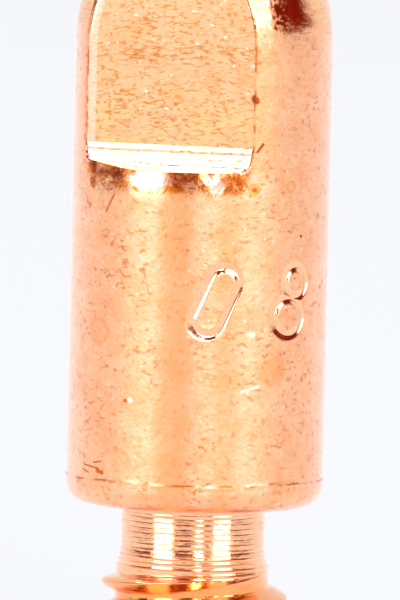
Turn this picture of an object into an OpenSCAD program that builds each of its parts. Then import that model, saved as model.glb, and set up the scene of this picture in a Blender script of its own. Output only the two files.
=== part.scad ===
// Contact tip of a wire welding torch: one copper piece turned from bar, with a threaded shank,
// a round body, two milled spanner flats and a tapered nose. It stands on its thread end, nose up.

/* [Body] */
// Length from the thread end to the front face
overall_l = 28; // [24:0.5:40]
// Diameter of the round body
body_d = 8; // [7:0.1:10]
// Radius that rounds the outer edge of the shoulder
shoulder_edge_r = 0.65; // [0.2:0.05:0.9]

/* [Nose] */
// Length of the nose, from the end of the round body to the front face
nose_l = 6.8; // [5:0.1:8.5]
// Slope of the nose cone against the axis, in degrees
nose_angle = 12; // [6:1:16]
// Radius that blends the round body into the nose cone
nose_blend_r = 6.3; // [2:0.1:12]
// Radius that rounds the edge of the front face
nose_edge_r = 0.6; // [0.2:0.05:0.8]

/* [Spanner flats] */
// Distance across the two flats
flats_w = 5.8; // [5:0.1:6.4]
// Length of the flats, from the ledge at their foot to the front face
flats_l = 10.5; // [8:0.1:13]
// Radius that the cutter leaves at the foot of each flat
flats_foot_r = 0.35; // [0.2:0.05:1]

/* [Threaded shank] */
// Length of the shank, from the thread end to the shoulder
shank_l = 7; // [5.5:0.1:9]
// Outside diameter of the thread
thread_d = 6; // [5.4:0.1:6.6]
// Pitch of the thread, which sets how deep its lead chamfer runs
thread_pitch = 1; // [0.75:0.25:1.25]
// Diameter of the undercut between the thread and the shoulder
undercut_d = 4.5; // [3.6:0.1:5]
// Length of the straight stretch of the undercut
undercut_l = 1.9; // [1:0.1:2.5]
// Slope of the bevel from the undercut out to the thread, in degrees
undercut_bevel = 45; // [30:5:60]
// Radius between the undercut's straight stretch and that bevel
undercut_foot_r = 1.5; // [0.5:0.1:2]
// Radius in the corner between the undercut and the shoulder
undercut_corner_r = 0.2; // [0.1:0.05:0.4]

/* [Wire passage] */
// Diameter of the welding wire
wire_d = 0.8; // [0.6:0.1:1.2]
// Clearance of the wire in its bore, on the diameter
wire_clearance = 0.15; // [0.1:0.05:0.3]
// Diameter of the lead-in cone's mouth in the thread end
lead_in_d = 2.6; // [1.8:0.1:3.2]
// Included angle of the lead-in cone, in degrees
lead_in_angle = 60; // [40:5:90]
// Bevel on the bore's edge in the front face
mouth_bevel = 0.1; // [0.05:0.05:0.2]

/* [Hidden] */
$fn = 128;

copper = [0.98, 0.77, 0.58];
// Depth of an external metric thread, as a share of its pitch
thread_depth_ratio = 0.6134;
// How far a cutter runs past the surface that it leaves
overrun = 1;
// Conical steps that draw the blend from the body to the nose cone
blend_steps = 8;

body_r = body_d / 2;
bore_r = (wire_d + wire_clearance) / 2;
lead_in_r = lead_in_d / 2;
lead_in_l = (lead_in_r - bore_r) / tan(lead_in_angle / 2);

thread_r = thread_d / 2;
thread_depth = thread_depth_ratio * thread_pitch;
undercut_r = undercut_d / 2;
undercut_z = shank_l - undercut_l;
thread_l = undercut_z - (thread_r - undercut_r) / tan(undercut_bevel);
// The foot's arc touches both walls this far from their corner, and stays within them
bevel_l = (thread_r - undercut_r) / sin(undercut_bevel);
foot_room = min(bevel_l, undercut_l - undercut_corner_r);
foot_r = min(undercut_foot_r, foot_room / tan(undercut_bevel / 2));
foot_reach = foot_r * tan(undercut_bevel / 2);

// Height at which the nose leaves the body, and the end of the blend there
nose_z = overall_l - nose_l;
cone_z = nose_z + nose_blend_r * sin(nose_angle);
cone_r = body_r - nose_blend_r * (1 - cos(nose_angle));
// Centre of the front edge's arc, which touches both the cone and the front face
edge_z = overall_l - nose_edge_r;
edge_x = cone_r - (nose_edge_r + (edge_z - cone_z) * sin(nose_angle)) / cos(nose_angle);

flats_z = overall_l - flats_l;

// Half sections of the turned piece: x is the radius and y the height above the thread end.
module shank_section() {
    polygon([
        [0, 0],
        [thread_r - thread_depth, 0],
        [thread_r, thread_depth],
        [thread_r, thread_l],
        [undercut_r, undercut_z],
        [undercut_r, shank_l],
        [0, shank_l]
    ]);
    translate([undercut_r, shank_l - undercut_corner_r])
        difference() {
            square(undercut_corner_r);
            translate([undercut_corner_r, 0]) circle(undercut_corner_r);
        }
    translate([undercut_r, undercut_z])
        difference() {
            polygon([
                [0, 0],
                [foot_reach * sin(undercut_bevel), -foot_reach * cos(undercut_bevel)],
                [foot_r, foot_reach],
                [0, foot_reach]
            ]);
            translate([foot_r, foot_reach]) circle(foot_r);
        }
}

module body_section() {
    translate([0, shank_l])
        square([body_r - shoulder_edge_r, nose_z - shank_l]);
    translate([0, shank_l + shoulder_edge_r])
        square([body_r, nose_z - shank_l - shoulder_edge_r]);
    translate([body_r - shoulder_edge_r, shank_l + shoulder_edge_r])
        circle(shoulder_edge_r);
}

module nose_section() {
    polygon([
        [0, nose_z],
        for (step = [0 : blend_steps])
            let (slope = nose_angle * step / blend_steps)
                [body_r - nose_blend_r * (1 - cos(slope)), nose_z + nose_blend_r * sin(slope)],
        [edge_x + nose_edge_r * cos(nose_angle), edge_z + nose_edge_r * sin(nose_angle)],
        [edge_x, edge_z],
        [edge_x, overall_l],
        [0, overall_l]
    ]);
    translate([edge_x, edge_z]) circle(nose_edge_r);
}

module wire_passage_section() {
    polygon([
        [0, 0],
        [lead_in_r, 0],
        [bore_r, lead_in_l],
        [bore_r, overall_l - mouth_bevel],
        [bore_r + mouth_bevel, overall_l],
        [0, overall_l]
    ]);
}

module turned_blank() {
    rotate_extrude()
        difference() {
            union() {
                shank_section();
                body_section();
                nose_section();
            }
            wire_passage_section();
        }
}

// What one pass of the milling cutter takes off, seen along the flat: x points out of the flat.
module flat_cut_section() {
    far_x = body_r + overrun;
    far_z = overall_l + overrun;
    foot_x = flats_w / 2 + flats_foot_r;
    foot_z = flats_z + flats_foot_r;
    translate([flats_w / 2, foot_z]) square([far_x - flats_w / 2, far_z - foot_z]);
    translate([foot_x, flats_z]) square([far_x - foot_x, far_z - flats_z]);
    translate([foot_x, foot_z]) circle(flats_foot_r);
}

module spanner_flats() {
    for (side = [-90, 90])
        rotate(side)
            rotate([90, 0, 0])
                linear_extrude(body_d + 2 * overrun, center = true)
                    flat_cut_section();
}

module contact_tip() {
    color(copper)
        difference() {
            turned_blank();
            spanner_flats();
        }
}

contact_tip();
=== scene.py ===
"""Copper contact tip of a wire welding torch: one turned piece that stands on its thread end."""

from math import cos, degrees, pi, radians, sin, tan

import bmesh
import bpy
import numpy as np
from mathutils import Matrix, Quaternion, Vector, noise


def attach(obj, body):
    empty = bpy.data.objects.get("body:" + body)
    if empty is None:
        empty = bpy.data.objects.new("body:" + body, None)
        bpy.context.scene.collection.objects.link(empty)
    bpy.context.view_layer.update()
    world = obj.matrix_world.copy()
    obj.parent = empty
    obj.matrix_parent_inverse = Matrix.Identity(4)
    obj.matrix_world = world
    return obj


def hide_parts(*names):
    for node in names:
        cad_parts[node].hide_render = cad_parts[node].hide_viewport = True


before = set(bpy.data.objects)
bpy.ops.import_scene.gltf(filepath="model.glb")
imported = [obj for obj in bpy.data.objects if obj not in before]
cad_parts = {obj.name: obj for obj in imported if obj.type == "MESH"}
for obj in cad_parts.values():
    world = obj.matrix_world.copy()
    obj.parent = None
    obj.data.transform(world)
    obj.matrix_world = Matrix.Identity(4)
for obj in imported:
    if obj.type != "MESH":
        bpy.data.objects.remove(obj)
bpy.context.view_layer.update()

MM = 0.001

# Sizes of the solid, in millimetres and degrees
LENGTH = 28.0
BODY_R = 4.0
SHOULDER_EDGE_R = 0.65
NOSE_Z = 21.2
NOSE_ANGLE = 12.0
NOSE_BLEND_R = 6.3
NOSE_EDGE_R = 0.6
FLAT_Y = 2.9
LEDGE_Z = 17.5
FOOT_R = 0.35
SHANK_L = 7.0
THREAD_R = 3.0
THREAD_PITCH = 1.0
THREAD_DEPTH = 0.6134
UNDERCUT_R = 2.25
UNDERCUT_Z = 5.1
UNDERCUT_BEVEL = 45.0
UNDERCUT_FOOT_R = 1.5
UNDERCUT_CORNER_R = 0.2
BORE_R = 0.475
LEAD_IN_R = 1.3
LEAD_IN_ANGLE = 60.0
MOUTH_BEVEL = 0.1

# Corners of the turned section that follow from them
THREAD_TOP = UNDERCUT_Z - (THREAD_R - UNDERCUT_R) / tan(radians(UNDERCUT_BEVEL))
LEAD_IN_L = (LEAD_IN_R - BORE_R) / tan(radians(LEAD_IN_ANGLE / 2))
NECK_LOW = UNDERCUT_Z + UNDERCUT_FOOT_R * tan(radians(UNDERCUT_BEVEL / 2))
NECK_HIGH = SHANK_L - UNDERCUT_CORNER_R
CONE_R = BODY_R - NOSE_BLEND_R * (1 - cos(radians(NOSE_ANGLE)))
CONE_Z = NOSE_Z + NOSE_BLEND_R * sin(radians(NOSE_ANGLE))
NOSE_EDGE_Z = LENGTH - NOSE_EDGE_R
NOSE_EDGE_X = CONE_R - (
    NOSE_EDGE_R + (NOSE_EDGE_Z - CONE_Z) * sin(radians(NOSE_ANGLE))
) / cos(radians(NOSE_ANGLE))

# Angles run round the axis from the middle of the front flat, in degrees, positive to its right
CREASE = degrees(np.arccos(FLAT_Y / BODY_R))
LEDGE_CORNER = degrees(np.arccos((FLAT_Y + FOOT_R) / BODY_R))
NARROWEST_FLAT = 12.0


def line(start, end, step):
    """Points from start towards end, which itself is left out."""
    start, end = np.array(start, float), np.array(end, float)
    count = max(1, round(np.linalg.norm(end - start) / step))
    return start + (end - start) * np.arange(count)[:, None] / count


def arc(centre, radius, first, last, step):
    """Points on an arc between two angles, the last of which is left out."""
    count = max(2, round(radius * radians(abs(last - first)) / step))
    turn = np.radians(first + (last - first) * np.arange(count) / count)
    return np.array(centre) + radius * np.column_stack([np.cos(turn), np.sin(turn)])


def path(corners, steps):
    """Points along the lines between corners, each line with its own step."""
    return np.concatenate([line(*ends) for ends in zip(corners, corners[1:], steps)])


def polar(angle, radius, z):
    """Points of the part from angle, radius and height."""
    turn = np.radians(angle)
    return np.stack(
        np.broadcast_arrays(radius * np.sin(turn), -radius * np.cos(turn), z), axis=-1
    )


def fold(angle):
    """Angle from the middle of the nearer flat."""
    side = np.abs(angle)
    return np.minimum(side, 180 - side)


def left_half(angle):
    """Whether an angle is to the left of the middle of its flat."""
    return np.sin(np.radians(2 * angle)) < 0


def within(value, low, high):
    """Whether a value lies between two limits."""
    return (value > low) & (value < high)


def smooth_step(value, start, end):
    """Rises from 0 at start to 1 at end."""
    share = np.clip((value - start) / (end - start), 0, 1)
    return share * share * (3 - 2 * share)


def smooth_min(first, second, blend):
    """The smaller value, with the corner between the two rounded off."""
    overlap = np.clip(blend - np.abs(first - second), 0, None)
    return np.minimum(first, second) - overlap**2 / (4 * blend)


def uneven(points, per_mm, seed):
    """Noise between -1 and 1 at each point, in patches of 1/per_mm."""
    shift = Vector((seed, seed, seed))
    values = [noise.noise(Vector(point) * per_mm + shift) for point in points.reshape(-1, 3)]
    return np.array(values).reshape(points.shape[:-1])


# Rows of the mesh: distances between neighbouring rows
THREAD_STEP = 0.05
MARK_PITCH = 0.163
NECK_STEP = MARK_PITCH / 8
ROUND_STEP = 0.08
PLAIN_STEP = 0.2
STAMP_STEP = 0.09
BAND_STEP = 0.05
BORE_STEP = 2.0
FACE_STEP = 0.25
CUTTER_STEP = 0.024

# Heights between which the rows change
SHOULDER_BAND_Z = 8.05
STAMP_LOW = 12.2
STAMP_HIGH = 15.0
ROLL_LOW = 16.3


def shank_points():
    """Section down the bore from its mouth, and up the outside to the shoulder."""
    foot_centre = (UNDERCUT_R + UNDERCUT_FOOT_R, NECK_LOW)
    foot = arc(foot_centre, UNDERCUT_FOOT_R, 180 + UNDERCUT_BEVEL, 180, NECK_STEP)
    corner = (UNDERCUT_R + UNDERCUT_CORNER_R, NECK_HIGH)
    bore_to_bevel = [
        (BORE_R, LENGTH - MOUTH_BEVEL), (BORE_R, LEAD_IN_L), (LEAD_IN_R, 0),
        (THREAD_R - THREAD_DEPTH, 0), (THREAD_R, THREAD_DEPTH), (THREAD_R, THREAD_TOP), foot[0],
    ]
    steps = [BORE_STEP, FACE_STEP, FACE_STEP, THREAD_STEP, THREAD_STEP, NECK_STEP]
    return np.concatenate([
        path(bore_to_bevel, steps),
        foot,
        line((UNDERCUT_R, NECK_LOW), (UNDERCUT_R, NECK_HIGH), NECK_STEP),
        arc(corner, UNDERCUT_CORNER_R, 180, 90, NECK_STEP),
        [(corner[0], SHANK_L), (corner[0] + FACE_STEP, SHANK_L)],
    ])


# The cutter's last passes leave two small steps above the fillet at the foot of a flat.
# A field of noise has its patches per millimetre and its seed.
STEP_DEPTH = 0.03
STEP_SPANS = ((17.88, 18.02), (18.12, 18.25))
STEP_TOP = 18.3
STEP_UNEVEN = 0.7
STEP_WORN = 0.2
STEP_FIELD = (2.5, 6.6)

# Rows of the ledge, which rises a little inwards, and of the fillet, with its lowest row's tilt
LEDGE_ROWS = 3
LEDGE_RISE = 0.004
FILLET_ROWS = 16
FILLET_FROM = 84.0
NO_FLAT = 99.0


def step_depth(z):
    """How far the cutter's passes stand proud of the flat at a height."""
    return sum(STEP_DEPTH * (1 - smooth_step(z, low, high)) for low, high in STEP_SPANS)


def step_loss(angle, z):
    """How much of the upper step is worn away round the part."""
    ring = polar(angle, FLAT_Y, np.full_like(z, STEP_TOP))
    worn = np.clip(uneven(ring, *STEP_FIELD) + STEP_WORN, 0, 1)
    return STEP_DEPTH * STEP_UNEVEN * worn * (1 - smooth_step(z, *STEP_SPANS[1]))


def with_flat(points, flat):
    """Adds to each point how far from the axis the flats' cutter runs there."""
    return np.column_stack([points, np.broadcast_to(flat, len(points))])


def flat_foot_points():
    """Ledge, fillet and steps at the foot of a flat, from the body inwards."""
    foot_y = FLAT_Y + step_depth(LEDGE_Z)
    ledge = np.linspace(BODY_R, foot_y + FOOT_R, LEDGE_ROWS)
    tilt = np.radians(np.linspace(FILLET_FROM, 0, FILLET_ROWS, endpoint=False))
    fillet = foot_y + FOOT_R * (1 - np.cos(tilt))
    steps = np.arange(LEDGE_Z + FOOT_R, STEP_TOP, CUTTER_STEP)
    heights = np.concatenate([
        LEDGE_Z + LEDGE_RISE * np.arange(LEDGE_ROWS) / LEDGE_ROWS,
        LEDGE_Z + FOOT_R * (1 - np.sin(tilt)),
        steps,
    ])
    rounds = np.column_stack([np.full(len(heights), BODY_R), heights])
    return with_flat(rounds, np.concatenate([ledge, fillet, FLAT_Y + step_depth(steps)]))


def body_points():
    """Section from the shoulder up to the bore's mouth, with the flats."""
    nose_edge = arc((NOSE_EDGE_X, NOSE_EDGE_Z), NOSE_EDGE_R, NOSE_ANGLE, 90, ROUND_STEP)
    edge_low = SHANK_L + SHOULDER_EDGE_R
    rounded_in = BODY_R - SHOULDER_EDGE_R
    stitch_r = UNDERCUT_R + UNDERCUT_CORNER_R + 2 * FACE_STEP
    heights = [edge_low, SHOULDER_BAND_Z, STAMP_LOW, STAMP_HIGH, ROLL_LOW, LEDGE_Z]
    steps = [BAND_STEP, PLAIN_STEP, STAMP_STEP, PLAIN_STEP, BAND_STEP]
    below = np.concatenate([
        line((stitch_r, SHANK_L), (rounded_in, SHANK_L), FACE_STEP),
        arc((rounded_in, edge_low), SHOULDER_EDGE_R, -90, 0, ROUND_STEP),
        path([(BODY_R, z) for z in heights], steps),
    ])
    above = np.concatenate([
        line((BODY_R, STEP_TOP), (BODY_R, NOSE_Z), PLAIN_STEP),
        arc((BODY_R - NOSE_BLEND_R, NOSE_Z), NOSE_BLEND_R, 0, NOSE_ANGLE, BAND_STEP),
        line((CONE_R, CONE_Z), nose_edge[0], PLAIN_STEP),
        nose_edge,
        line((NOSE_EDGE_X, LENGTH), (BORE_R + MOUTH_BEVEL, LENGTH), FACE_STEP),
        line((BORE_R + MOUTH_BEVEL, LENGTH), (BORE_R, LENGTH - MOUTH_BEVEL), MOUTH_BEVEL),
    ])
    return np.concatenate([
        with_flat(below, NO_FLAT),
        flat_foot_points(),
        with_flat(above, FLAT_Y),
    ])


# Columns of the mesh, in degrees: closer at the stamp and along the flats' edges
EDGE_BAND = 2.5
STAMP_FROM = 12.0
STAMP_TO = 82.0
PLAIN_TURN = 2.0
STAMP_TURN = 1.3
EDGE_TURN = 0.6


def column_angles():
    """Angles of the body's columns; every second one runs on down the shank."""
    creases = (CREASE - 180, -CREASE, CREASE, 180 - CREASE)
    bands = [crease + side for crease in creases for side in (-EDGE_BAND, EDGE_BAND)]
    limits = sorted([-180, *bands, STAMP_FROM, STAMP_TO, 180])
    columns = []
    for start, end in zip(limits, limits[1:]):
        middle = (start + end) / 2
        turn = STAMP_TURN if within(middle, STAMP_FROM, STAMP_TO) else PLAIN_TURN
        if abs(fold(middle) - CREASE) < EDGE_BAND:
            turn = EDGE_TURN
        count = 2 * max(1, round((end - start) / turn / 2))
        columns.append(np.linspace(start, end, count, endpoint=False))
    return np.concatenate(columns)


def edge_angle(radius, z, flat):
    """Where the edge of a flat runs at one row."""
    if z < LEDGE_Z:
        share = np.clip((z - STAMP_HIGH) / (LEDGE_Z - STAMP_HIGH), 0, 1)
        return CREASE + (LEDGE_CORNER - CREASE) * share
    reach = min(flat, FLAT_Y + FOOT_R) / radius
    return max(degrees(np.arccos(min(reach, 1))), NARROWEST_FLAT)


def follow_edge(columns, edge):
    """Shifts the columns so that the ones on the flats' edges stay on them."""
    known = [0, CREASE - EDGE_BAND, CREASE + EDGE_BAND, 90]
    moved = [0, edge - EDGE_BAND, edge + EDGE_BAND, 90]
    shifted = np.interp(fold(columns), known, moved)
    side = np.where(np.abs(columns) < 90, shifted, 180 - shifted)
    return np.copysign(side, columns)


# The turned shank: thread and feed marks
CREST_AT_Z = 4.57
CREST_AT_ANGLE = -70.1
CREST_R = 2.97
CREST_FLAT = THREAD_PITCH / 8
FLANK_ANGLE = 30.0
THREAD_ROUNDING = 0.04
MARK_SHARES = (0, 0.75, 0.875, 1)
MARK_DEPTHS = (0, 0.0095, 0.0145, 0)
MARK_STEP = 0.3
MARKS_LOW = 4.7
MARKS_FULL = 4.85


def thread_radius(angle, z, crest_r):
    """Radius of a right-hand metric thread whose crests reach crest_r."""
    turns = (z - CREST_AT_Z) / THREAD_PITCH - (angle - CREST_AT_ANGLE) / 360
    from_crest = THREAD_PITCH * np.abs(turns - np.round(turns))
    flank = crest_r - (from_crest - CREST_FLAT / 2) / tan(radians(FLANK_ANGLE))
    crest = smooth_min(crest_r, flank, THREAD_ROUNDING)
    return -smooth_min(-crest, THREAD_DEPTH - THREAD_R, THREAD_ROUNDING)


def feed_marks(z, section):
    """Radius of the neck after each turn of the tool has left a step in it."""
    turn = (z - NECK_LOW) / MARK_PITCH
    phase = turn % 1
    low = NECK_LOW + np.floor(turn) * MARK_PITCH
    outer, inner = (np.interp(height, *section) for height in (low, low + MARK_PITCH))
    step = inner + (outer - inner) * (1 - smooth_step(phase, 0, MARK_STEP))
    return step - np.interp(phase, MARK_SHARES, MARK_DEPTHS)


def shank_grid(columns):
    """Points of the bore, the thread and the neck, row by row."""
    rows = shank_points()
    radius, z = rows[:, :1], rows[:, 1:]
    neck = rows[(rows[:, 0] > LEAD_IN_R) & (rows[:, 1] > THREAD_TOP)]
    fade = smooth_step(z, MARKS_LOW, MARKS_FULL) * smooth_step(-z, -SHANK_L, -NECK_HIGH)
    marked = radius + fade * (feed_marks(z, neck.T[::-1]) - radius)
    thread = thread_radius(columns, z, np.minimum(radius, CREST_R))
    outside = (radius > LEAD_IN_R) & within(z, 0, NECK_HIGH)
    return polar(columns, np.where(outside, np.minimum(marked, thread), radius), z)


# The body: worn edges of the flats, rise of the ledge, dented bulge under it, burr at the shoulder
LEFT_WEAR = 0.11
RIGHT_WEAR = 0.04
LEDGE_LIFT = 0.2
LIFT_FROM = 5.0
ROLL_L = 0.95
ROLL_FADE = 8.0
ROLL_DEPTH = 0.105
ROLL_UNEVEN = 0.5
ROLL_FIELD = (1.1, 3.7)
DENT_DEPTH = 0.02
DENT_FIELD = (3.0, 8.2)
BURR_Z = 7.85
BURR_HEIGHT = 0.03
BURR_HALF_W = 0.04
BURR_WANDER = 0.06
BURR_WANDER_FIELD = (0.8, 5.1)
BURR_MEAN = 0.4
BURR_BITE_FIELD = (4.5, 9.4)


def ledge_height(angle):
    """Height of the edge between the body and the foot of a flat."""
    reach = BODY_R * np.cos(np.radians(fold(angle)))
    bend = np.clip(1 - (reach - FLAT_Y) / FOOT_R, 0, 1)
    return LEDGE_Z + FOOT_R * (1 - np.sqrt(1 - bend**2))


def ledge_lift(angle):
    """How far the foot of each flat rises towards its left end."""
    return LEDGE_LIFT * left_half(angle) * smooth_step(fold(angle), LIFT_FROM, CREASE)


def ledge_roll(angle, z):
    """How far the cutter has pushed the body in just under the ledge."""
    near = np.clip(1 - (ledge_height(angle) - z) / ROLL_L, 0, 1)
    side = smooth_step(-fold(angle), -CREASE, -CREASE + ROLL_FADE)
    points = polar(angle, BODY_R, z)
    roll = ROLL_DEPTH * (1 + ROLL_UNEVEN * uneven(points, *ROLL_FIELD))
    return side * near**2 * (roll + DENT_DEPTH * uneven(points, *DENT_FIELD))


def shoulder_burr(angle, z):
    """Ragged line where the turned edge meets the bar's own surface."""
    ring = polar(angle, BODY_R, np.zeros_like(z))
    line_z = BURR_Z + BURR_WANDER * uneven(ring, *BURR_WANDER_FIELD)
    bite = BURR_MEAN + uneven(ring, *BURR_BITE_FIELD)
    return BURR_HEIGHT * bite * np.exp(-(((z - line_z) / BURR_HALF_W) ** 2))


def body_radius(angle, radius, z, flat):
    """Radius of the body's points: turned, rolled in under the ledges, or milled."""
    at_foot = (z >= LEDGE_Z) & (z < STEP_TOP)
    flat = flat - np.where(at_foot, step_loss(angle, z), 0)
    milled = flat / np.cos(np.radians(fold(angle)))
    under_ledge = within(z, ROLL_LOW, LEDGE_Z + FOOT_R)
    rolled = radius - np.where(under_ledge, ledge_roll(angle, z), 0)
    wear = np.where(left_half(angle), LEFT_WEAR, RIGHT_WEAR)
    at_shoulder = within(z, SHANK_L + SHOULDER_EDGE_R, SHOULDER_BAND_Z)
    turned = radius + np.where(at_shoulder, shoulder_burr(angle, z), 0)
    cut = np.where(z > NOSE_EDGE_Z, turned, smooth_min(rolled, milled, wear))
    return np.where(z < ROLL_LOW, turned, cut)


FAR_FROM_EDGE = 9.0


def body_grid(columns):
    """Points of the body and nose, row by row, and their distances outwards from a flat's edge."""
    rows = body_points()
    radius, z, flat = (rows[:, i : i + 1] for i in range(3))
    edges = np.array([edge_angle(*row) for row in rows])
    angle = np.array([follow_edge(columns, edge) for edge in edges])
    foot_share = np.clip((LEDGE_Z + FOOT_R - z) / FOOT_R, 0, 1) * (z >= LEDGE_Z)
    lifted = z + foot_share * ledge_lift(angle)
    points = polar(angle, body_radius(angle, radius, z, flat), lifted)
    from_edge = np.radians(fold(angle) - edges[:, None]) * radius
    return points, np.where(z < LEDGE_Z, FAR_FROM_EDGE, from_edge)


# The stamped wire size: places, forms and slants of its strokes
ZERO_AT = (28.3, 13.55)
ZERO_RADIUS = 0.48
ZERO_STRAIGHT = 0.62
ZERO_SLANT = 24.0
POINT_AT = (44.1, 12.7)
POINT_RADIUS = 0.29
POINT_DEPTH = 0.013
EIGHT_RINGS = (((68.9, 14.12), (0.48, 0.47)), ((64.8, 13.06), (0.6, 0.56)))
EIGHT_SLANT = 15.0
STROKE_HALF_W = 0.165
STROKE_LEAN = 0.45
STROKE_DEPTH = 0.062
SMALLEST_REACH = 0.01

# Shares of a stroke's wall: flat bottom, rounding of its upper edge, place and spread of its rim
STROKE_FLAT = 0.1
STROKE_ROUNDING = 0.2
RIM_AT = 1.3
RIM_SPREAD = 0.35
RIM_HEIGHT = 0.004

# How near the figures the mesh is refined and how often, and the depth of the skin that is moved
STAMP_REACH = 2.0
STAMP_CUTS = 3
STAMP_SKIN = 0.1


def from_mark(angle, z, at, slant):
    """Position along and across a slanted mark on the unrolled body."""
    around = BODY_R * np.radians(angle - at[0])
    up = z - at[1]
    lean = radians(slant)
    along = around * sin(lean) + up * cos(lean)
    across = around * cos(lean) - up * sin(lean)
    return along, across


def wall_share(distance, across, half_wide):
    """Distance from a stroke's bottom as a share of its wall, which is wider on the left."""
    lean = np.sign(distance) * np.clip(across / half_wide, -1, 1)
    return np.abs(distance) / (STROKE_HALF_W * (1 - STROKE_LEAN * lean))


def from_zero(angle, z):
    """Distance from the slanted zero, as a share of its stroke's wall."""
    along, across = from_mark(angle, z, ZERO_AT, ZERO_SLANT)
    past = np.clip(np.abs(along) - ZERO_STRAIGHT, 0, None)
    return wall_share(np.hypot(past, across) - ZERO_RADIUS, across, ZERO_RADIUS)


def from_oval(angle, z, at, radii):
    """Distance from one ring of the eight, as a share of its stroke's wall."""
    along, across = from_mark(angle, z, at, EIGHT_SLANT)
    reach = np.hypot(along / radii[1], across / radii[0])
    distance = (reach - 1) * np.hypot(along, across) / np.maximum(reach, SMALLEST_REACH)
    return wall_share(distance, across, radii[0])


def from_strokes(angle, z):
    """Distance from the nearest stroke, as a share of its wall."""
    rings = [from_oval(angle, z, *ring) for ring in EIGHT_RINGS]
    return np.minimum.reduce([from_zero(angle, z), *rings])


def from_point(angle, z):
    """Distance from the middle of the point, as a share of its radius."""
    return np.hypot(*from_mark(angle, z, POINT_AT, 0)) / POINT_RADIUS


def stamp_height(angle, z):
    """Height of the stamped body: V-shaped strokes with raised rims, and a round point."""
    share = from_strokes(angle, z)
    groove = STROKE_DEPTH * smooth_min(np.maximum(share, STROKE_FLAT) - 1, 0, STROKE_ROUNDING)
    rim = RIM_HEIGHT * np.exp(-(((share - RIM_AT) / RIM_SPREAD) ** 2))
    point = from_point(angle, z)
    dish = -POINT_DEPTH * np.clip(1 - point**2, 0, None) ** 2
    return np.where(point < 1, dish, groove + rim)


def at_stamp(angle, z):
    """Whether a place is in the field of the stamp."""
    return within(z, STAMP_LOW, STAMP_HIGH) & within(angle, STAMP_FROM, STAMP_TO)


def stamped_faces(bm):
    """Faces of the body near the stamp."""
    close = []
    for face in bm.faces:
        x, y, z = face.calc_center_median()
        angle = degrees(np.arctan2(x, -y))
        if at_stamp(angle, z) and min(from_point(angle, z), from_strokes(angle, z)) < STAMP_REACH:
            close.append(face)
    return close


def refine_stamp(mesh):
    """Divides the faces near the stamp."""
    bm = bmesh.new()
    bm.from_mesh(mesh)
    edges = dict.fromkeys(edge for face in stamped_faces(bm) for edge in face.edges)
    bmesh.ops.subdivide_edges(
        bm, edges=list(edges), cuts=STAMP_CUTS, use_grid_fill=True, use_single_edge=True
    )
    bm.to_mesh(mesh)
    bm.free()


def read_points(items, field):
    """Positions of a mesh's vertices or faces, one row each."""
    values = np.empty(3 * len(items))
    items.foreach_get(field, values)
    return values.reshape(-1, 3)


def sink_stamp(mesh):
    """Moves the body's points to the height of the stamped figures."""
    points = read_points(mesh.vertices, "co")
    x, y, z = points.T
    angle = np.degrees(np.arctan2(x, -y))
    there = (np.hypot(x, y) > BODY_R - STAMP_SKIN) & at_stamp(angle, z)
    angle, z = angle[there], z[there]
    points[there] = polar(angle, BODY_R + stamp_height(angle, z), z)
    mesh.vertices.foreach_set("co", points.ravel())


def ring_faces(rows, columns, first):
    """Quads between the rows of a grid whose points start at index first."""
    low = first + np.arange((rows - 1) * columns).reshape(-1, columns)
    after = np.roll(low, -1, axis=1)
    return np.stack([low, after, after + columns, low + columns], -1).reshape(-1, 4)


def join_faces(coarse, fine, count, coarse_below):
    """Faces that join a ring of count points to one with twice as many."""
    faces = []
    for i in range(count):
        after = (i + 1) % count
        steps = [fine + 2 * i, fine + 2 * i + 1, fine + 2 * after]
        low, high = coarse + i, coarse + after
        faces.append([low, high, *steps[::-1]] if coarse_below else [*steps, high, low])
    return faces


def build_mesh():
    """The whole tip as one closed mesh, in millimetres."""
    columns = column_angles()
    shank = shank_grid(columns[::2])
    body, from_edge = body_grid(columns)
    rows, count = shank.shape[:2]
    body_first = rows * count
    body_last = body_first + (len(body) - 1) * len(columns)
    faces = [
        *ring_faces(rows, count, 0).tolist(),
        *ring_faces(len(body), len(columns), body_first).tolist(),
        *join_faces(body_first - count, body_first, count, True),
        *join_faces(0, body_last, count, False),
    ]
    mesh = bpy.data.meshes.new("contact_tip_visual")
    mesh.from_pydata(np.concatenate([shank.reshape(-1, 3), body.reshape(-1, 3)]), [], faces)
    away = mesh.attributes.new("from_edge", "FLOAT", "POINT")
    on_shank = np.full(body_first, FAR_FROM_EDGE)
    away.data.foreach_set("value", np.concatenate([on_shank, from_edge.ravel()]))
    refine_stamp(mesh)
    sink_stamp(mesh)
    return mesh


# Finishes, in the order of the mesh's material slots
TURNED, DRAWN, MILLED, STRUCK = range(4)

# Limits of the finishes: the turned nose's ragged edge, the shoulder, and depths below the bar
NOSE_TURNED_Z = 21.67
NOSE_CLIMB = 0.3
CLIMB_ANGLES = (-70, -45)
RAGGED = 0.14
RAGGED_FIELD = (2.6, 2.3)
FRAYED = 0.6
FRAYED_FIELD = (7.0, 4.1)
SATIN_FROM = 7.02
MILLED_DEPTH = 0.02
STRUCK_DEPTH = 0.004


def turned_limit(angle, z):
    """Height at which the turned nose begins, with a ragged edge."""
    points = polar(angle, BODY_R, z)
    ragged = RAGGED * (uneven(points, *RAGGED_FIELD) + FRAYED * uneven(points, *FRAYED_FIELD))
    return NOSE_TURNED_Z + NOSE_CLIMB * smooth_step(-fold(angle), *CLIMB_ANGLES) - ragged


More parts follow.
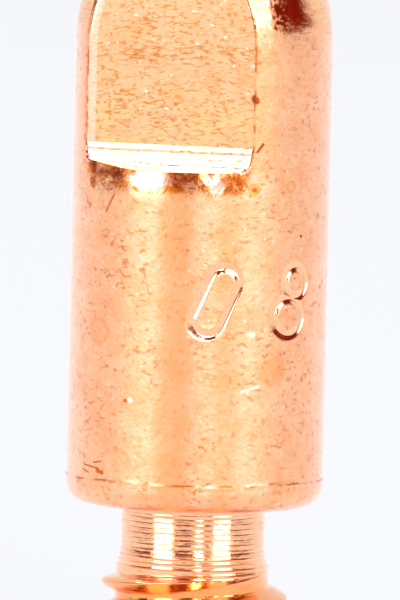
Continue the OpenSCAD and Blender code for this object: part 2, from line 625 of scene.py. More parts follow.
def sort_finishes(mesh):
    """Gives each face the finish of the tool that last touched it."""
    x, y, z = read_points(mesh.polygons, "center").T
    radius = np.hypot(x, y)
    angle = np.degrees(np.arctan2(x, -y))
    section = body_points()
    outside = np.interp(z, section[:, 1], section[:, 0])
    turned = (z < SATIN_FROM) | (z > turned_limit(angle, z))
    on_flat = within(z, LEDGE_Z + ledge_lift(angle), NOSE_EDGE_Z)
    milled = on_flat & (radius < outside - MILLED_DEPTH)
    stamped = within(z, STAMP_LOW, STAMP_HIGH) & (radius < BODY_R - STRUCK_DEPTH)
    finish = np.select([milled, turned, stamped], [MILLED, TURNED, STRUCK], DRAWN)
    finish[radius < BORE_R + MOUTH_BEVEL] = TURNED
    mesh.polygons.foreach_set("material_index", finish.astype(np.int32))


# Dashes: the noise's middle draws their lines, and finer noise between the limits breaks them up
NOISE_MIDDLE = 0.5
GAP_RATE = 1.9
GAP_LIMITS = (0.62, 0.68)
GAP_SHIFT = 0.24

SHEEN_ROUGHNESS = 0.4


class Shader:
    """Adds and links the nodes of one material or world."""

    def __init__(self, owner):
        owner.use_nodes = True
        self.owner = owner
        self.nodes = owner.node_tree.nodes
        self.links = owner.node_tree.links
        self.nodes.clear()

    def add(self, kind, inputs=None, **settings):
        """A node of this kind, with its settings and its inputs set or linked."""
        node = self.nodes.new("ShaderNode" + kind)
        for name, value in settings.items():
            setattr(node, name, value)
        for name, value in (inputs or {}).items():
            if isinstance(value, bpy.types.NodeSocket):
                self.links.new(value, node.inputs[name])
            else:
                node.inputs[name].default_value = value
        return node

    def math(self, operation, *values):
        """Sum, product or other operation on values."""
        return self.add("Math", dict(enumerate(values)), operation=operation).outputs[0]

    def vector(self, operation, *values):
        """Outputs of an operation on vectors."""
        return self.add("VectorMath", dict(enumerate(values)), operation=operation).outputs

    def both(self, first, second):
        """Product of two masks, 1 where both are."""
        return self.math("MULTIPLY", first, second)

    def either(self, first, *others):
        """The largest of several masks, 1 where any of them is."""
        for mask in others:
            first = self.math("MAXIMUM", first, mask)
        return first

    def weigh(self, weights, **values):
        """Sum of named values, each with its weight."""
        result = 0.0
        for name, weight in weights.items():
            result = self.math("MULTIPLY_ADD", values[name], weight, result)
        return result

    def ramp(self, value, start, end, low=0.0, high=1.0):
        """Maps start..end smoothly to low..high."""
        inputs = {"Value": value, 1: start, 2: end, 3: low, 4: high}
        return self.add("MapRange", inputs, interpolation_type="SMOOTHSTEP").outputs["Result"]

    def fade(self, value, start, end):
        """Falls from 1 at start to 0 at end."""
        return self.ramp(value, start, end, 1.0, 0.0)

    def band(self, value, low, high, margin):
        """1 between two limits; fades out this far beyond them."""
        return self.both(self.ramp(value, low - margin, low), self.fade(value, high, high + margin))

    def millimetres(self, stretch=(1, 1, 1), turn=(0, 0, 0)):
        """Position in millimetres, stretched for grain that has a direction."""
        place = self.add("TexCoord").outputs["Object"]
        scale = tuple(factor / MM for factor in stretch)
        mapping = {"Vector": place, "Scale": scale, "Rotation": tuple(map(radians, turn))}
        return self.add("Mapping", mapping).outputs["Vector"]

    def axes(self):
        """Position on the part along X, Y and Z, in millimetres."""
        return self.add("SeparateXYZ", {"Vector": self.millimetres()}).outputs

    def from_edge(self):
        """Distance from the edge of the nearer flat, in millimetres."""
        return self.add("Attribute", attribute_name="from_edge").outputs["Fac"]

    def noise(self, per_mm, detail=2.0, roughness=0.5, **grain):
        """Cloudy values between 0 and 1, stretched and turned like the grain."""
        place = self.millimetres(**grain)
        inputs = {"Vector": place, "Scale": per_mm, "Detail": detail, "Roughness": roughness}
        return self.add("TexNoise", inputs).outputs["Fac"]

    def patches(self, limits, values=(0.0, 1.0), **cloud):
        """Cloudy noise, drawn out so that two limits of it become the two values."""
        return self.ramp(self.noise(**cloud), *limits, *values)

    def ragged(self, value, amount, **cloud):
        """A value with up to this amount of noise added."""
        return self.math("MULTIPLY_ADD", self.noise(**cloud), amount, value)

    def dashes(self, per_mm, width, cover, **grain):
        """Thin wandering lines, broken up into dashes that cover about this share of them."""
        off_line = self.math("SUBTRACT", self.noise(per_mm, detail=1.0, **grain), NOISE_MIDDLE)
        lines = self.fade(self.math("ABSOLUTE", off_line), 0.0, width)
        limits = tuple(limit - GAP_SHIFT * cover for limit in GAP_LIMITS)
        shown = self.patches(limits, per_mm=GAP_RATE * per_mm, detail=1.0, **grain)
        return self.both(lines, shown)

    def mix(self, share, first, second):
        """Mixes two colours."""
        inputs = {0: share, 6: first, 7: second}
        return self.add("Mix", inputs, data_type="RGBA").outputs[2]

    def paint(self, colour, mask, tint, strength):
        """Lays a tint over a colour where the mask is 1."""
        return self.mix(self.both(mask, strength), colour, tint)

    def lay(self, colour, tints, **masks):
        """Lays named tints over a colour, one after another."""
        for name, mask in masks.items():
            colour = self.paint(colour, mask, *tints[name])
        return colour

    def finish_metal(self, colour, roughness, relief, film, bare=None):
        """A copper surface with relief in millimetres, under a clear film except where bare."""
        bump = self.add("Bump", {"Strength": 1.0, "Distance": MM, "Height": relief})
        metal = {
            "Base Color": colour,
            "Metallic": 1.0,
            "Roughness": roughness,
            "Normal": bump.outputs["Normal"],
            "Coat Weight": self.math("SUBTRACT", 1.0, bare) if bare else 1.0,
            "Sheen Roughness": SHEEN_ROUGHNESS,
            **film,
        }
        surface = self.add("BsdfPrincipled", metal).outputs["BSDF"]
        self.add("OutputMaterial", {"Surface": surface})
        return self.owner


PALE_COPPER = (1.0, 0.52, 0.24, 1)
COPPER = (0.99, 0.43, 0.155, 1)
DEEP_COPPER = (0.97, 0.31, 0.04, 1)
BRIGHT_COPPER = (1.0, 0.82, 0.62, 1)
GOLDEN_COPPER = (1.0, 0.58, 0.2, 1)
RUST = (0.6, 0.12, 0.0, 1)
OCHRE = (0.6, 0.2, 0.01, 1)
GRIME = (0.32, 0.04, 0.0, 1)

# Range that most of a noise's values lie in
NOISE_RANGE = (0.3, 0.7)

# Scratches and pits, with a painted glint beside one pit: angle and height of both ends, half width
# and tint
MARKS = (
    (-21.7, 16.73, -26.4, 16.18, 0.035, RUST),
    (39.8, 10.8, 48.5, 10.97, 0.035, BRIGHT_COPPER),
    (-31.1, 8.42, -26.4, 8.47, 0.03, RUST),
    (-38.0, 8.32, -32.5, 8.28, 0.03, RUST),
    (-32.5, 8.28, -27.7, 8.24, 0.03, RUST),
    (-38.9, 8.16, -34.8, 8.09, 0.03, RUST),
    (-28.6, 8.18, -25.2, 8.13, 0.07, RUST),
    # A pit drawn in paint alone: a dark spot, and a painted glint beside it
    (-13.2, 10.42, -12.4, 10.42, 0.07, RUST),
    (-10.9, 10.46, -10.2, 10.44, 0.08, BRIGHT_COPPER),
    (43.1, 19.8, 44.0, 19.74, 0.13, GRIME),
    (47.9, 18.4, 45.2, 18.18, 0.05, GRIME),
    (43.9, 17.0, 44.5, 17.0, 0.07, RUST),
    (70.7, 15.54, 71.1, 15.54, 0.05, GRIME),
)
MARK_STRENGTH = 0.9
MARK_CORE = 0.5
MARK_END = 1.3


def scratch(shader, first, last, half_width):
    """A straight mark between two points, 1 along its middle."""
    run = last - first
    from_first = shader.vector("SUBTRACT", shader.millimetres(), first)["Vector"]
    along = shader.vector("DOT_PRODUCT", from_first, run / run.length_squared)["Value"]
    share = shader.add("Clamp", {"Value": along}).outputs["Result"]
    nearest = shader.vector("MULTIPLY", run, share)["Vector"]
    away = shader.vector("DISTANCE", from_first, nearest)["Value"]
    return shader.fade(away, half_width * MARK_CORE, half_width * MARK_END)


def mark_up(shader, colour):
    """Lays the scratches and pits, with a pit's painted glint, over a colour; gives it back with the
    dark ones' mask.
    """
    dark = []
    for start, low, end, high, half_width, tint in MARKS:
        ends = (Vector(polar(start, BODY_R, low)), Vector(polar(end, BODY_R, high)))
        mark = scratch(shader, *ends, half_width)
        colour = shader.paint(colour, mark, tint, MARK_STRENGTH)
        if tint is not BRIGHT_COPPER:
            dark.append(mark)
    return colour, shader.either(*dark)


# Dirt along the flats' edges: where its line starts on the bar and on the flat, width and gaps
GRIME_ON_BAR = 0.01
GRIME_ON_FLAT = -0.01
GRIME_W = 0.02
GRIME_WANDER = dict(per_mm=3.0)
GRIME_GAPS = dict(per_mm=1.7, limits=(0.42, 0.56))


def edge_grime(shader, start):
    """A broken line along the flats' edges, where dirt and tarnish hold."""
    away = shader.ragged(shader.from_edge(), GRIME_W, **GRIME_WANDER)
    dirt = shader.band(away, start, start + GRIME_W, GRIME_W)
    return shader.both(dirt, shader.patches(**GRIME_GAPS))


# The bar's skin: noise, and the limits between which it becomes a mask
TILT = (70, 20, 40)
BAR_CLOUDS = dict(per_mm=1.2, detail=4.0, roughness=0.65, limits=(0.36, 0.64))
BAR_BLOTCHES = dict(per_mm=2.2, detail=3.0, roughness=0.6, turn=TILT, limits=(0.5, 0.68))
BAR_DRAWING = dict(per_mm=4.5, detail=3.0, roughness=0.6, stretch=(1, 1, 2.4), limits=(0.5, 0.66))
BAR_SPECKS = dict(per_mm=5.0, detail=1.0, turn=TILT, limits=(0.68, 0.76))
# Pale spots that are painted glints
BAR_PALE_SPOTS = dict(per_mm=7.0, detail=1.0, turn=TILT, limits=(0.69, 0.76))
BAR_GRAIN = dict(per_mm=8.0, roughness=0.6)
BAR_DENTS = dict(per_mm=2.6, turn=TILT)
BAR_SCRATCHES = dict(per_mm=2.1, width=0.1, cover=0.22, stretch=(1, 1, 1.8))
BAR_HAIRLINES = dict(per_mm=1.5, width=0.06, cover=0.15, stretch=(1, 1, 1.3), turn=(50, 15, 0))
HANDLED = dict(per_mm=0.55, turn=TILT, limits=(0.35, 0.65), values=(0.15, 0.7))

# Where the bar is deeper in colour: heights at the shoulder, and distances from the flats' edges over
# which shade is painted
SHOULDER_TINT_Z = (7.05, 7.42)
EDGE_STRIP = (0.1, 1.2)

# Tints of the bar, with their strengths
BAR_TINTS = dict(
    blotches=(DEEP_COPPER, 0.35),
    drawing=(DEEP_COPPER, 0.35),
    specks=(RUST, 0.6),
    shoulder=(DEEP_COPPER, 0.6),
    # Painted shade beside the flats' edges
    edge_strip=(DEEP_COPPER, 0.42),
    # Painted glints
    pale_spots=(BRIGHT_COPPER, 0.5),
    # Dirt along the flats' edges, and painted shade along the burr
    dirt=(RUST, 0.8),
    # Painted highlight and painted dark reflection under the ledges
    rubbed=(BRIGHT_COPPER, 0.5),
    tarnish=(RUST, 0.85),
)


def bar_colour(shader):
    """The bar's mottled and specked colour."""
    return shader.lay(
        shader.mix(shader.patches(**BAR_CLOUDS), COPPER, PALE_COPPER),
        BAR_TINTS,
        blotches=shader.patches(**BAR_BLOTCHES),
        drawing=shader.patches(**BAR_DRAWING),
        specks=shader.patches(**BAR_SPECKS),
        shoulder=shader.fade(shader.axes()["Z"], *SHOULDER_TINT_Z),
        # Painted shade beside the flats' edges
        edge_strip=shader.fade(shader.from_edge(), *EDGE_STRIP),
        # Pale spots: painted glints
        pale_spots=shader.patches(**BAR_PALE_SPOTS),
    )


# Painted shade: darker streaks along the bar, between the lamps' reflections: angle, half width and
# strength
STREAKS = ((9.1, 0.45, 0.5), (33.8, 0.35, 0.3))
STREAK_EDGE = dict(per_mm=1.6, detail=3.0)

# Stains on the bar: angle, height and radius, whether only a ring is left, and strength
STAINS = (
    (44.2, 17.0, 0.2, False, 1.0),
    (63.6, 17.07, 0.18, True, 1.0),
    (55.7, 11.4, 0.45, False, 0.6),
    (-29.3, 12.5, 0.42, True, 0.5),
    (-29.3, 12.5, 0.42, False, 0.35),
    (-45.5, 17.3, 0.3, True, 0.8),
)
STAIN_EDGE = dict(per_mm=3.0)
STAIN_RAGGED = 0.6
STAIN_INSIDE = 0.85
STAIN_RIM = 1.2
STAIN_OUTSIDE = 1.5


def streak(shader, angle, half_width):
    """A ragged band of painted shade along the bar, 1 in its middle."""
    level = shader.millimetres(stretch=(1, 1, 0))
    away = shader.vector("DISTANCE", level, Vector(polar(angle, BODY_R, 0)))["Value"]
    away = shader.ragged(away, half_width, **STREAK_EDGE)
    return shader.fade(away, half_width, 2 * half_width)


def stain(shader, angle, z, radius, ring):
    """A round drying mark on the bar, 1 where it is darkest."""
    centre = Vector(polar(angle, BODY_R, z))
    away = shader.vector("DISTANCE", shader.millimetres(), centre)["Value"]
    away = shader.ragged(away, radius * STAIN_RAGGED, **STAIN_EDGE)
    spot = shader.fade(away, radius * STAIN_RIM, radius * STAIN_OUTSIDE)
    if ring:
        return shader.both(shader.ramp(away, radius * STAIN_INSIDE, radius * STAIN_RIM), spot)
    return spot


def stain_bar(shader, colour):
    """Lays the streaks of painted shade and the stains over the bar's colour."""
    for *place, strength in STREAKS:
        # Streaks of painted shade, darker between the lamps' reflections
        colour = shader.paint(colour, streak(shader, *place), DEEP_COPPER, strength)
    for *place, strength in STAINS:
        colour = shader.paint(colour, stain(shader, *place), DEEP_COPPER, strength)
    return colour


# The brown line of painted shade along the burr: height, wandering, fading and gaps
BURR_LINE_Z = BURR_Z + 0.1
BURR_LINE_WANDER = -0.14
BURR_LINE_WAVES = dict(per_mm=0.9)
BURR_LINE_FADE = (0.015, 0.045)
BURR_LINE_GAPS = dict(per_mm=1.5, limits=(0.46, 0.58))


def burr_line(shader):
    """A broken brown line of painted shade where the turned edge meets the bar's own surface."""
    middle = shader.ragged(BURR_LINE_Z, BURR_LINE_WANDER, **BURR_LINE_WAVES)
    off_line = shader.math("ABSOLUTE", shader.math("SUBTRACT", shader.axes()["Z"], middle))
    dirt = shader.fade(off_line, *BURR_LINE_FADE)
    return shader.both(dirt, shader.patches(**BURR_LINE_GAPS))


# The burnished field under the ledges: limits in Z and Y
BURNISHED_Z = (ROLL_LOW + 0.2, ROLL_LOW + 0.7)
BURNISHED_Y = (FLAT_Y - 0.1, FLAT_Y + 0.2)

# Ovals of painted highlight there: x and z of the middle, half width and half height
RUBBED_SPOTS = ((-0.3, 17.24, 0.72, 0.3), (1.8, 17.06, 0.22, 0.25))
RUBBED_EDGE = dict(per_mm=5.0, detail=3.0)
RUBBED_RAGGED = 0.6
RUBBED_FADE = (1.0, 1.5)

# A grainy brown painted dark reflection beside them, which leaves the metal without its film
TARNISH_GRAINS = dict(per_mm=3.0, detail=4.0, roughness=0.7)
TARNISH_SHARE = 0.45
TARNISH_LIMITS = (0.82, 1.02)
TARNISH_BARE = 0.4


def burnished(shader):
    """1 just under the ledges, where the cutter has rubbed the bar smooth."""
    _, y, z = shader.axes()
    return shader.both(
        shader.ramp(z, *BURNISHED_Z), shader.ramp(shader.math("ABSOLUTE", y), *BURNISHED_Y)
    )


def rubbed_spot(shader, x, z, half_width, half_height):
    """1 in one oval of painted highlight under the ledges."""
    away = shader.vector("SUBTRACT", shader.millimetres(), (x, 0, z))["Vector"]
    shares = shader.vector("MULTIPLY", away, (1 / half_width, 0, 1 / half_height))["Vector"]
    reach = shader.vector("LENGTH", shares)["Value"]
    return shader.fade(shader.ragged(reach, RUBBED_RAGGED, **RUBBED_EDGE), *RUBBED_FADE)


def rub_under_ledge(shader, colour, burnish):
    """Lays painted highlights and a grainy painted dark reflection over a colour; gives it back with
    the dark reflection's mask.
    """
    rubbed = shader.either(*(rubbed_spot(shader, *spot) for spot in RUBBED_SPOTS))
    grains = shader.ragged(shader.both(burnish, TARNISH_SHARE), 1.0, **TARNISH_GRAINS)
    dull = shader.math("SUBTRACT", 1.0, rubbed)
    tarnish = shader.both(dull, shader.ramp(grains, *TARNISH_LIMITS))
    bright = shader.both(burnish, rubbed)
    return shader.lay(colour, BAR_TINTS, rubbed=bright, tarnish=tarnish), tarnish


# The bar's relief in millimetres, roughness and clear film
BAR_RELIEF = dict(dents=0.0143, grain=0.011, smoothed=-0.0077, waves=0.0066, scratches=-0.0022)
BAR_ROUGHNESS = (0.34, 0.4)
BURNISH_ROUGHNESS = -0.14
BAR_FILM = {"Coat IOR": 1.85, "Coat Roughness": 0.2, "Sheen Weight": 0.22}


def drawn_copper():
    """The bar's own satin surface: mottled, specked, stained and scratched by handling, with painted
    shade, glints and highlights.
    """
    shader = Shader(bpy.data.materials.new("drawn_copper"))
    grain = shader.noise(**BAR_GRAIN)
    dents = shader.noise(**BAR_DENTS)
    scratches = shader.dashes(**BAR_SCRATCHES)
    hairlines = shader.dashes(**BAR_HAIRLINES)
    handled = shader.patches(**HANDLED)
    burnish = burnished(shader)
    # Dirt along the flats' edges, and painted shade along the burr
    dirt = shader.either(edge_grime(shader, GRIME_ON_BAR), burr_line(shader))
    colour = bar_colour(shader)
    for lines in (scratches, hairlines):
        colour = shader.paint(colour, lines, RUST, handled)
    # Streaks of painted shade and the stains, then the scratches and pits
    colour, marked = mark_up(shader, stain_bar(shader, colour))
    colour = shader.lay(colour, BAR_TINTS, dirt=dirt)
    # Painted highlights and a painted dark reflection under the ledges
    colour, tarnish = rub_under_ledge(shader, colour, burnish)
    strokes = shader.both(shader.either(scratches, hairlines), handled)
    bare = shader.either(strokes, marked, dirt, shader.ramp(tarnish, 0.0, TARNISH_BARE))
    smoothed = shader.both(burnish, grain)
    waves = shader.both(burnish, dents)
    relief = shader.weigh(
        BAR_RELIEF, dents=dents, grain=grain, smoothed=smoothed, waves=waves, scratches=scratches
    )
    satin = shader.ramp(grain, *NOISE_RANGE, *BAR_ROUGHNESS)
    roughness = shader.math("MULTIPLY_ADD", burnish, BURNISH_ROUGHNESS, satin)
    return shader.finish_metal(colour, roughness, relief, BAR_FILM, bare)


# The milled flats: noise and dashes of their colour
FLAT_CLOUDS = dict(per_mm=1.5, detail=4.0, roughness=0.65, limits=(0.3, 0.58))
FLAT_GRAIN = dict(per_mm=5.5, detail=3.0, roughness=0.6, stretch=(1, 1, 2.0))
FLAT_GRAIN_LIMITS = (0.5, 0.7)
FLAT_ORANGE = dict(per_mm=2.4, stretch=(1, 1, 1.4), limits=(0.54, 0.68))
FLAT_GOLDEN = dict(per_mm=1.1, detail=3.0, stretch=(1, 1, 1.6), limits=(0.36, 0.6))
FLAT_FLECKS = dict(per_mm=3.2, detail=1.0, stretch=(1, 1, 1.4), limits=(0.71, 0.75))
FLAT_DASHES = dict(per_mm=2.0, width=0.07, cover=0.65, stretch=(0.9, 0.9, 2.7), turn=(0, 6, 0))
FLAT_FINE_DASHES = dict(per_mm=2.6, width=0.07, cover=0.55, stretch=(0.9, 0.9, 2.4), turn=(12, -9, 0))
WORKED = dict(per_mm=0.8, limits=(0.35, 0.65), values=(0.5, 0.8))

# Heights of the golden field and of the painted highlight at the foot
GOLDEN_Z = (18.6, 20.6)
BRIGHT_FOOT_Z = (STEP_TOP - 0.1, STEP_TOP)

# Tints of the flats, with their strengths
FLAT_TINTS = dict(
    golden=(GOLDEN_COPPER, 0.75),
    # Painted highlight at the foot
    foot=(BRIGHT_COPPER, 0.4),
    orange=(DEEP_COPPER, 0.3),
    grain=(DEEP_COPPER, 0.3),
    strokes=(OCHRE, 1.0),
    chatter=(OCHRE, 0.8),
    flecks=(BRIGHT_COPPER, 0.8),
    # Worn left edges, with a painted highlight
    worn_edge=(BRIGHT_COPPER, 0.45),
    grime=(RUST, 0.8),
)


def flat_colour(shader, grain):
    """The flats' mottled colour, golden low down, with a painted highlight at the foot."""
    z = shader.axes()["Z"]
    return shader.lay(
        shader.mix(shader.patches(**FLAT_CLOUDS), COPPER, PALE_COPPER),
        FLAT_TINTS,
        golden=shader.both(shader.patches(**FLAT_GOLDEN), shader.fade(z, *GOLDEN_Z)),
        # Painted highlight at the foot
        foot=shader.fade(z, *BRIGHT_FOOT_Z),
        orange=shader.patches(**FLAT_ORANGE),
        grain=shader.ramp(grain, *FLAT_GRAIN_LIMITS),
    )


# The band in which the cutter chattered: heights, fading and dashes
CHATTER_Z = (20.8, 21.3)
CHATTER_FADE = 0.15
CHATTER_DASHES = dict(per_mm=1.3, width=0.08, cover=0.8, stretch=(1, 1, 3.2))


def chatter_marks(shader):
    """Dashes in the band where the cutter chattered."""
    band = shader.band(shader.axes()["Z"], *CHATTER_Z, CHATTER_FADE)
    return shader.both(shader.dashes(**CHATTER_DASHES), band)


# The worn strip along the left edges, with a painted highlight: product of x and y that tells left
# from right, and distances
LEFT_LIMITS = (0.0, 0.5)
WORN_STRIP = (-0.27, -0.2)


def worn_edge(shader):
    """1 along the left edge of each flat, which handling has rubbed and where a highlight is painted.
    """
    x, y, _ = shader.axes()
    left = shader.ramp(shader.both(x, y), *LEFT_LIMITS)
    return shader.both(left, shader.ramp(shader.from_edge(), *WORN_STRIP))


FLAT_RELIEF = dict(grain=0.0005, dashes=-0.0004, fine=-0.0003)
FLAT_ROUGHNESS = (0.09, 0.14)
FLAT_FILM = {"Coat IOR": 1.75, "Coat Roughness": 0.1, "Sheen Weight": 0.1}


def milled_copper():
    """The flats: short wavy dashes that the cutter drags across them."""
    shader = Shader(bpy.data.materials.new("milled_copper"))
    grain = shader.noise(**FLAT_GRAIN)
    dashes = shader.dashes(**FLAT_DASHES)
    fine = shader.dashes(**FLAT_FINE_DASHES)
    strokes = shader.both(shader.either(dashes, fine), shader.patches(**WORKED))
    colour = shader.lay(
        flat_colour(shader, grain),
        FLAT_TINTS,
        strokes=strokes,
        chatter=chatter_marks(shader),
        flecks=shader.patches(**FLAT_FLECKS),
        # Worn left edges, with a painted highlight
        worn_edge=worn_edge(shader),
        grime=edge_grime(shader, GRIME_ON_FLAT),
    )
    colour, marked = mark_up(shader, colour)
    relief = shader.weigh(FLAT_RELIEF, grain=grain, dashes=dashes, fine=fine)
    roughness = shader.ramp(grain, *NOISE_RANGE, *FLAT_ROUGHNESS)
    bare = shader.either(strokes, marked)
    return shader.finish_metal(colour, roughness, relief, FLAT_FILM, bare)


# The turned nose, neck and thread: noise and dashes of their colour and relief
TURNED_RINGS = dict(per_mm=2.5, detail=3.0, roughness=0.6, stretch=(0.15, 0.15, 6.0))
TURNED_RING_LIMITS = (0.35, 0.65)
TURNED_GRAIN = dict(per_mm=8.0, detail=3.0)
TURNED_DENTS = dict(per_mm=3.0)
TURNED_CLOUDS = dict(per_mm=2.0, detail=3.0, roughness=0.6, stretch=(1, 1, 2.0), limits=(0.5, 0.7))
TURNED_DASHES = dict(per_mm=1.6, width=0.08, cover=0.35, stretch=(0.5, 0.5, 3.5))
# The thread's deeper tint is painted shade in its grooves
TURNED_TINTS = dict(clouds=(DEEP_COPPER, 0.5), dashes=(RUST, 0.5), threaded=(DEEP_COPPER, 0.85))
SHANK_RIPPLE = dict(per_mm=2.4, stretch=(1, 1, 1.8))
SHANK_FADE_Z = (SHANK_L, SHANK_L + 1)

# Rough spots near the flats' edges, relief, roughness, bare metal and film
ROUGH_SPOTS = dict(per_mm=7.0, detail=3.0, limits=(0.4, 0.7))
ROUGH_STRIP = (0.9, 1.7)
TURNED_RELIEF = dict(
    rings=0.0014, grain=0.0014, dents=0.004, nose_grain=0.002, nose_dents=0.003, ripple=0.016
)
TURNED_ROUGHNESS = (0.1, 0.16)
TURNED_GLOSS = dict(smooth=1.0, spots=0.32, shank=0.05, nose=-0.05)
TURNED_BARE = dict(nose=0.3, threaded=0.5)
TURNED_FILM = {"Coat IOR": 2.1, "Coat Roughness": 0.08}


def turned_colour(shader, rings, threaded):
    """The colour of the turned surfaces, deepened on the thread with painted shade."""
    return shader.lay(
        shader.mix(shader.ramp(rings, *TURNED_RING_LIMITS), COPPER, PALE_COPPER),
        TURNED_TINTS,
        clouds=shader.patches(**TURNED_CLOUDS),
        dashes=shader.dashes(**TURNED_DASHES),
        # Painted shade on the thread
        threaded=threaded,
    )


def turned_copper():
    """Bright turned surfaces with fine rings round the axis."""
    shader = Shader(bpy.data.materials.new("turned_copper"))
    rings = shader.noise(**TURNED_RINGS)
    grain = shader.noise(**TURNED_GRAIN)
    dents = shader.noise(**TURNED_DENTS)
    z = shader.axes()["Z"]
    threaded = shader.fade(z, THREAD_TOP, UNDERCUT_Z)
    shank = shader.fade(z, *SHANK_FADE_Z)
    nose = shader.ramp(z, LEDGE_Z, NOSE_Z)
    relief = shader.weigh(
        TURNED_RELIEF,
        rings=rings,
        grain=grain,
        dents=dents,
        nose_grain=shader.both(nose, grain),
        nose_dents=shader.both(nose, dents),
        ripple=shader.both(shank, shader.noise(**SHANK_RIPPLE)),
    )
    smooth = shader.ramp(grain, *NOISE_RANGE, *TURNED_ROUGHNESS)
    strip = shader.fade(shader.from_edge(), *ROUGH_STRIP)
    spots = shader.both(strip, shader.patches(**ROUGH_SPOTS))
    roughness = shader.weigh(TURNED_GLOSS, smooth=smooth, spots=spots, shank=shank, nose=nose)
    colour = turned_colour(shader, rings, threaded)
    bare = shader.weigh(TURNED_BARE, nose=nose, threaded=threaded)
    return shader.finish_metal(colour, roughness, relief, TURNED_FILM, bare)


STRUCK_GRAIN = dict(per_mm=10.0)
STRUCK_LIMITS = (0.4, 0.65)
STRUCK_RELIEF = 0.003
STRUCK_ROUGHNESS = (0.1, 0.18)
STRUCK_FILM = {"Coat IOR": 2.1, "Coat Roughness": 0.1}


def struck_copper():
    """The stamped strokes, burnished by the punch."""
    shader = Shader(bpy.data.materials.new("struck_copper"))
    grain = shader.noise(**STRUCK_GRAIN)
    colour = shader.mix(shader.ramp(grain, *STRUCK_LIMITS), PALE_COPPER, COPPER)
    roughness = shader.ramp(grain, *NOISE_RANGE, *STRUCK_ROUGHNESS)
    relief = shader.both(grain, STRUCK_RELIEF)
    return shader.finish_metal(colour, roughness, relief, STRUCK_FILM)


SMOOTH_BELOW = 35.0


def build_tip():
    """The visible tip, in the place of the plain solid."""
    mesh = build_mesh()
    sort_finishes(mesh)
    for finish in (turned_copper(), drawn_copper(), milled_copper(), struck_copper()):
        mesh.materials.append(finish)
    mesh.transform(Matrix.Scale(MM, 4))
    mesh.shade_smooth()
    mesh.set_sharp_from_angle(angle=radians(SMOOTH_BELOW))
    tip = bpy.data.objects.new("contact_tip_visual", mesh)
    bpy.context.collection.objects.link(tip)
    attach(tip, "root")
    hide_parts("contact_tip")


# The photograph's view: direction, point in the middle of the frame, frame height
VIEW_AZIMUTH = 19.9
VIEW_ELEVATION = 4.6
VIEW_ROLL = 1.37
VIEW_DISTANCE = 300.0
VIEW_CENTRE_Z = 13.3
VIEW_CENTRE_RIGHT = 0.053
FRAME_HEIGHT = 18.6
SENSOR = 36.0
NEAREST_SHOWN = 10.0
FARTHEST_SHOWN = 3000.0


def direction(azimuth, elevation):
    """Unit vector from the tip, with azimuth 0 in front of the front flat."""
    rise = radians(elevation)
    return Vector(polar(azimuth, cos(rise), sin(rise)))


def aim(name, data, centre, outward, distance, roll=0.0):
    """An object at a distance from a point, which it faces."""
    thing = bpy.data.objects.new(name, data)
    thing.location = (centre + outward * distance) * MM
    thing.rotation_mode = "QUATERNION"
    facing = (-outward).to_track_quat("-Z", "Y")
    thing.rotation_quaternion = facing @ Quaternion((0, 0, 1), radians(roll))
    bpy.context.collection.objects.link(thing)
    return thing


def add_camera():
    """A long lens from the photograph's side, rolled as the photograph is."""
    data = bpy.data.cameras.new("photo_view")
    data.sensor_width = SENSOR
    data.lens = SENSOR * VIEW_DISTANCE / FRAME_HEIGHT
    data.clip_start = NEAREST_SHOWN * MM
    data.clip_end = FARTHEST_SHOWN * MM
    centre = Vector((0, 0, VIEW_CENTRE_Z)) + VIEW_CENTRE_RIGHT * direction(VIEW_AZIMUTH + 90, 0)
    back = direction(VIEW_AZIMUTH, VIEW_ELEVATION)
    camera = aim("photo_view", data, centre, back, VIEW_DISTANCE, VIEW_ROLL)
    bpy.context.scene.camera = camera


# Studio lamps: azimuth from the camera, elevation, width and height seen from the tip, radiance
LAMPS = {
    "left_lamp": (-48, 28, 34, 55, 3.3),
    "right_lamp": (48, 26, 31, 51, 2.9),
    "slim_lamp": (10.7, 24, 8, 27, 21.5),
    "top_lamp": (-125, 70, 44, 44, 6.0),
}
LAMP_DISTANCE = 1500.0
LAMP_TINT = (0.95, 0.97, 1.2)
TIP_MIDDLE = Vector((0, 0, LENGTH / 2))


def add_lamp(name, azimuth, elevation, wide, tall, radiance):
    """A soft box that faces the tip."""
    data = bpy.data.lights.new(name, "AREA")
    data.shape = "RECTANGLE"
    data.color = LAMP_TINT
    data.size, data.size_y = (
        2 * LAMP_DISTANCE * tan(radians(angle / 2)) * MM for angle in (wide, tall)
    )
    data.energy = radiance * pi * data.size * data.size_y
    outward = direction(VIEW_AZIMUTH + azimuth, elevation)
    lamp = aim(name, data, TIP_MIDDLE, outward, LAMP_DISTANCE)
    lamp.visible_camera = False


# The surroundings: white low down and behind, and where the dim room in front begins
WHITE = (0.97, 0.97, 0.97, 1)
ROOM = (0.21, 0.012, 0.004, 1)
ROOM_FRONT = (-0.65, -0.4)
ROOM_HEIGHTS = (0.06, 0.125)
BACKDROP_SLANT = 0.25
BACKDROP_HEIGHTS = (0.04, 0.22)


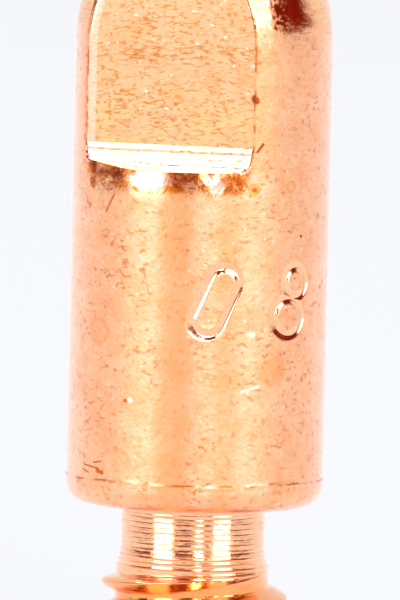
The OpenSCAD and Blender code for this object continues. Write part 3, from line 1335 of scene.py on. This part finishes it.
def add_world():
    """White low down and behind the tip, a dim warm room in front of it."""
    world = bpy.data.worlds.new("studio")
    bpy.context.scene.world = world
    shader = Shader(world)
    place = shader.add("TexCoord").outputs["Generated"]
    height = shader.add("SeparateXYZ", {"Vector": place}).outputs["Z"]
    facing = shader.vector("DOT_PRODUCT", place, direction(VIEW_AZIMUTH, 0))["Value"]
    slant = shader.ramp(height, *BACKDROP_HEIGHTS, 0.0, BACKDROP_SLANT)
    in_front = shader.ramp(shader.math("SUBTRACT", facing, slant), *ROOM_FRONT)
    colour = shader.mix(shader.both(in_front, shader.ramp(height, *ROOM_HEIGHTS)), WHITE, ROOM)
    background = shader.add("Background", {"Color": colour, "Strength": 1.0})
    shader.add("OutputWorld", {"Surface": background.outputs["Background"]})


# The floor: size, colours in the light and to the camera, and the second one's share
FLOOR_SIZE = 4000.0
FLOOR_WHITE = (0.93, 0.935, 0.955, 1)
BACKDROP = (0.793, 0.82, 0.8, 1)
FLOOR_SHOWN = 0.85


def floor_white():
    """Takes shadows, and shows its white to the camera and in the metal."""
    shader = Shader(bpy.data.materials.new("floor_white"))
    lit = shader.add("BsdfDiffuse", {"Color": FLOOR_WHITE}).outputs["BSDF"]
    light = shader.add("LightPath").outputs
    colour = shader.mix(light["Is Camera Ray"], WHITE, BACKDROP)
    shown = shader.add("Emission", {"Color": colour, "Strength": 1.0}).outputs["Emission"]
    rays = ("Is Camera Ray", "Is Glossy Ray", "Is Transmission Ray")
    share = shader.both(shader.either(*(light[ray] for ray in rays)), FLOOR_SHOWN)
    mixed = shader.add("MixShader", {0: share, 1: lit, 2: shown}).outputs["Shader"]
    shader.add("OutputMaterial", {"Surface": mixed})
    return shader.owner


def add_floor():
    """A wide floor under the tip."""
    mesh = bpy.data.meshes.new("floor")
    half = FLOOR_SIZE / 2 * MM
    corners = [(-half, -half, 0), (half, -half, 0), (half, half, 0), (-half, half, 0)]
    mesh.from_pydata(corners, [], [(0, 1, 2, 3)])
    mesh.materials.append(floor_white())
    floor = bpy.data.objects.new("floor", mesh)
    bpy.context.collection.objects.link(floor)


add_camera()
build_tip()
add_floor()
add_world()
for lamp_name, lamp_values in LAMPS.items():
    add_lamp(lamp_name, *lamp_values)
bpy.context.scene.view_settings.view_transform = "Standard"
